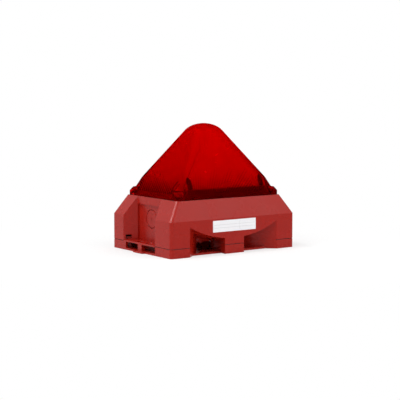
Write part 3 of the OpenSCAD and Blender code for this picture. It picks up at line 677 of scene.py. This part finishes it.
def dressed_lens():
    """The lens moulding with rounded edges, with its fine ribs and its posts as pieces of their own."""
    piece = softened("lens", "lens_moulding", LENS_EDGE, LENS_SLOTS["edge"])
    ribs = bmesh.new()
    posts = bmesh.new()
    for side in (-1, 1):
        add_face_ribs(ribs, (0, side), LONG_FACE_LEAN)
        add_face_ribs(ribs, (side, 0), END_FACE_LEAN)
        for end in (-1, 1):
            add_post(posts, (end, side))
    # The ribs and posts have darker copies of the lens colour, as painted shade
    add_detail("lens_ribs", ribs, RIB_PAINTED_SHADE_RED, "lens_cover")
    add_detail("lens_posts", posts, POST_PAINTED_SHADE_RED, "lens_cover")
    return piece


def frost_inside(lens):
    """Gives the lens's rounded edges a darker copy of the lens colour as painted shade, and the faces that
    look inward their own plastic.
    """
    lens.data.materials.append(EDGE_PAINTED_SHADE_RED)
    lens.data.materials.append(INNER_RED)
    core = Vector((0, 0, COLLAR_TOP))
    for face in lens.data.polygons:
        if face.normal.dot(face.center - core) < 0:
            face.material_index = LENS_SLOTS["inner"]


def mouth_walls(tray):
    """Top edges of the tray's walls that look into a horn mouth, each as its two ends and that direction."""
    for edge in tray.edges:
        start, end = (corner.co for corner in edge.verts)
        uprights = [face for face in edge.link_faces if abs(face.normal.z) < UPRIGHT_TILT]
        on_top = max(abs(start.z - TRAY_TOP), abs(end.z - TRAY_TOP)) <= MERGE_DISTANCE
        if len(uprights) != 1 or not on_top:
            continue
        middle = (start + end) / 2
        mouth_x = math.copysign(MOUTH_MIDDLE.x, middle.x)
        mouth_y = math.copysign(MOUTH_MIDDLE.y, middle.y)
        inside = abs(middle.x) < MOUTH_END and abs(middle.y) > MOUTH_BACK
        outlook = uprights[0].normal
        if inside and outlook.dot(Vector((mouth_x, mouth_y, middle.z)) - middle) > 0:
            yield start, end, outlook


def add_seam(form, start, end, outlook):
    """One strip in the parting gap, flush with the mouth's wall, that stays behind the outer face."""
    along = (end - start).normalized()
    outer_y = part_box("base_tray")[1].y - SEAM_SETBACK
    if abs(start.y) > outer_y:
        start = start + along * SEAM_SETBACK
    if abs(end.y) > outer_y:
        end = end - along * SEAM_SETBACK
    front = -outlook * SEAM_CLEARANCE
    back = -outlook * SEAM_DEPTH
    outline = (start + front, end + front, end + back, start + back)
    lower = Vector((0, 0, -SEAM_CLEARANCE))
    upper = Vector((0, 0, PARTING_GAP - SEAM_CLEARANCE))
    bottom = [form.verts.new(point + lower) for point in outline]
    top = [form.verts.new(point + upper) for point in outline]
    close_rings(form, bottom, top)


def close_mouth_seams():
    """Fills the shadow gap between tray and hood along the walls of the horn mouths."""
    tray = clean_form(frame["nodes"]["base_tray"].data)
    seams = bmesh.new()
    for wall in mouth_walls(tray):
        add_seam(seams, *wall)
    tray.free()
    add_detail("mouth_seams", seams, MATERIALS["red_shell"], "base")


def build_pieces():
    """The mouldings with rounded edges, and the details that the solids leave out."""
    stands_for(softened("housing", "hood_moulding", SHELL_EDGE), "housing", "hood", "red_shell")
    stands_for(softened("base_tray", "base_moulding", SHELL_EDGE), "base_tray", "base", "red_shell")
    lens = dressed_lens()
    stands_for(lens, "lens", "lens_cover", "red_lens")
    frost_inside(lens)
    close_mouth_seams()


# Stage


def add_camera():
    """The photograph's camera, with the target where the photograph has it."""
    data = bpy.data.cameras.new("photo_camera")
    data.sensor_width = SENSOR_WIDTH
    data.lens = FOCAL_PIXELS / IMAGE_SIDE * SENSOR_WIDTH
    data.shift_x = (IMAGE_SIDE / 2 - TARGET_PIXEL[0]) / IMAGE_SIDE
    data.shift_y = (TARGET_PIXEL[1] - IMAGE_SIDE / 2) / IMAGE_SIDE
    camera = link("photo_camera", data)
    flat = math.cos(CAMERA_ELEVATION)
    back_x = math.sin(CAMERA_AZIMUTH) * flat
    back_y = -math.cos(CAMERA_AZIMUTH) * flat
    back = Vector((back_x, back_y, math.sin(CAMERA_ELEVATION)))
    camera.location = CAMERA_TARGET + back * CAMERA_DISTANCE
    camera.rotation_mode = "QUATERNION"
    camera.rotation_quaternion = (-back).to_track_quat("-Z", "Y")
    scene.camera = camera


def add_lamp(name, location, size, power):
    """A soft lamp that looks at the object; size is a disk's diameter or an oblong's sides."""
    data = bpy.data.lights.new(name, "AREA")
    if isinstance(size, tuple):
        data.shape = "RECTANGLE"
        data.size, data.size_y = size
    else:
        data.shape = "DISK"
        data.size = size
    data.energy = power
    lamp = link(name, data)
    lamp.location = location
    lamp.rotation_mode = "QUATERNION"
    lamp.rotation_quaternion = (CAMERA_TARGET - location).to_track_quat("-Z", "Y")
    return lamp


def add_lamps():
    """Soft light from above and both sides, and a lamp that shows only in gloss, along the near corner."""
    key = add_lamp("key", *KEY_LAMP)
    key.visible_transmission = False
    add_lamp("left", *LEFT_LAMP)
    add_lamp("right", *RIGHT_LAMP)
    gloss = add_lamp("gloss", *GLOSS_LAMP)
    gloss.visible_diffuse = False
    gloss.visible_transmission = False


def seen_directly(tree):
    """One for rays that show a background: from the camera, in gloss and through clear plastic."""
    path = tree.nodes.new("ShaderNodeLightPath")
    gloss = math_node(tree, "MAXIMUM", path.outputs["Is Camera Ray"], path.outputs["Is Glossy Ray"])
    shown = math_node(tree, "MAXIMUM", gloss, path.outputs["Is Transmission Ray"])
    unscattered = math_node(tree, "LESS_THAN", path.outputs["Diffuse Depth"], 1.0)
    return math_node(tree, "MULTIPLY", shown, unscattered)


def add_world():
    """Soft light that is a little brighter from above, in front of a white background."""
    world = bpy.data.worlds.new("studio")
    scene.world = world
    world.use_nodes = True
    tree = world.node_tree
    background = tree.nodes["Background"]
    background.inputs["Color"].default_value = (1, 1, 1, 1)
    coordinates = tree.nodes.new("ShaderNodeTexCoord")
    height = split_axes(tree, coordinates.outputs["Generated"])["Z"]
    sky = map_range(tree, height, (-1.0, 1.0), (LIGHT_BELOW, LIGHT_ABOVE))
    strength = math_node(tree, "MAXIMUM", seen_directly(tree), sky)
    tree.links.new(strength, background.inputs["Strength"])


def floor_material():
    """Pale matt grey that turns into the white of the background away from the object."""
    material, tree, shader = new_shader("floor")
    grain = noise(tree, scale=30)
    colours = blend_colours(tree, grain, (0.86, 0.86, 0.86), (0.9, 0.9, 0.9))
    tree.links.new(colours, shader.inputs["Base Color"])
    shader.inputs["Roughness"].default_value = 0.9
    distance = tree.nodes.new("ShaderNodeVectorMath")
    distance.operation = "LENGTH"
    tree.links.new(place(tree), distance.inputs[0])
    reach = (FADE_START, FADE_END)
    fade = map_range(tree, distance.outputs["Value"], reach, (FADE_START_SHARE, 1.0), smooth=True)
    white = tree.nodes.new("ShaderNodeEmission")
    share = math_node(tree, "MULTIPLY", fade, seen_directly(tree))
    mix_shaders(tree, share, shader.outputs["BSDF"], white.outputs["Emission"])
    return material


def add_floor():
    """A pale floor that keeps a soft shadow near the object and runs out into the white background."""
    form = bmesh.new()
    bmesh.ops.create_grid(form, x_segments=2, y_segments=2, size=FLOOR_SIDE / 2)
    mesh = bpy.data.meshes.new("floor")
    form.to_mesh(mesh)
    form.free()
    floor = link("floor", mesh)
    mesh.materials.append(floor_material())


def add_stage():
    """The camera, the light and the floor."""
    scene.view_settings.view_transform = "Standard"
    add_camera()
    add_world()
    add_lamps()
    add_floor()


add_stage()
dress_nodes()
build_pieces()
